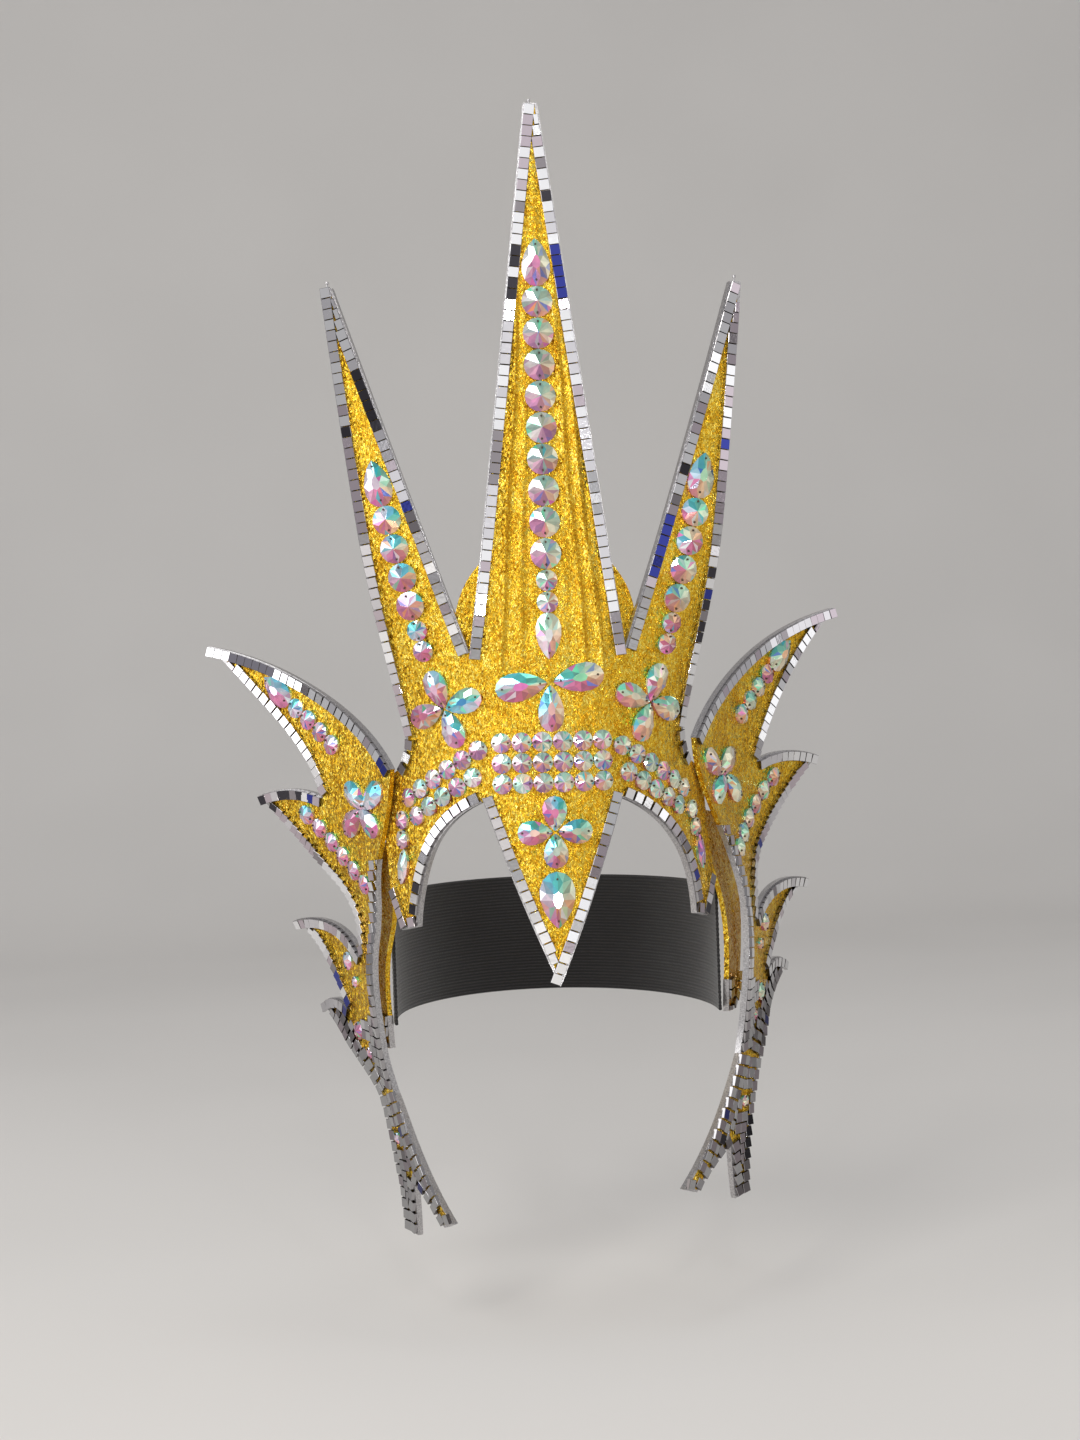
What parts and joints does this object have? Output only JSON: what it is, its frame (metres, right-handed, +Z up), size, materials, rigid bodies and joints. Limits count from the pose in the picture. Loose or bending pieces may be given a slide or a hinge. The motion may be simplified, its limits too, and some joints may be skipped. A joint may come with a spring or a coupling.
{
  "type": "spiked crown headdress",
  "caption": "Tall stage crown of bent gold glitter panels with a centre blade, side spikes and flame-shaped wings, edged in mirror tiles and set with crystals.",
  "frame": {"origin": "the middle of the wearer's head, level with the band's lower edge at the brow", "axes": "+Z up, front towards -Y, +X to the right as seen from the front"},
  "size_m": [0.3242, 0.2014, 0.529],
  "materials": {
    "gold_glitter": "coarse gold glitter fabric on stiff sheet",
    "mirror_tile": "small square mirror tiles",
    "crystal": "faceted, with a rainbow coating",
    "black_webbing": "matt woven band"
  },
  "bodies": {
    "root": {"front_band": "gold_glitter", "centre_blade": "gold_glitter", "back_plate": "gold_glitter", "blade_trim": "mirror_tile", "peak_trim": "mirror_tile", "blade_column": "crystal", "blade_cross": "crystal", "band_row_upper": "crystal", "band_row_middle": "crystal", "band_row_lower": "crystal", "peak_cross": "crystal", "peak_drop": "crystal", "left_spike_trim": "mirror_tile", "left_arch_trim": "mirror_tile", "left_spike_column": "crystal", "left_spike_cross": "crystal", "left_arch_upper": "crystal", "left_arch_lower": "crystal", "left_temple_stones": "crystal", "left_wing": "gold_glitter", "left_wing_trim": "mirror_tile", "left_wing_column": "crystal", "left_wing_cross": "crystal", "left_flame_stones": "crystal", "left_side_tab": "gold_glitter", "left_tab_trim": "mirror_tile", "right_spike_trim": "mirror_tile", "right_arch_trim": "mirror_tile", "right_spike_column": "crystal", "right_spike_cross": "crystal", "right_arch_upper": "crystal", "right_arch_lower": "crystal", "right_temple_stones": "crystal", "right_wing": "gold_glitter", "right_wing_trim": "mirror_tile", "right_wing_column": "crystal", "right_wing_cross": "crystal", "right_flame_stones": "crystal", "right_side_tab": "gold_glitter", "right_tab_trim": "mirror_tile", "back_strap": "black_webbing"}
  },
  "joints": []
}
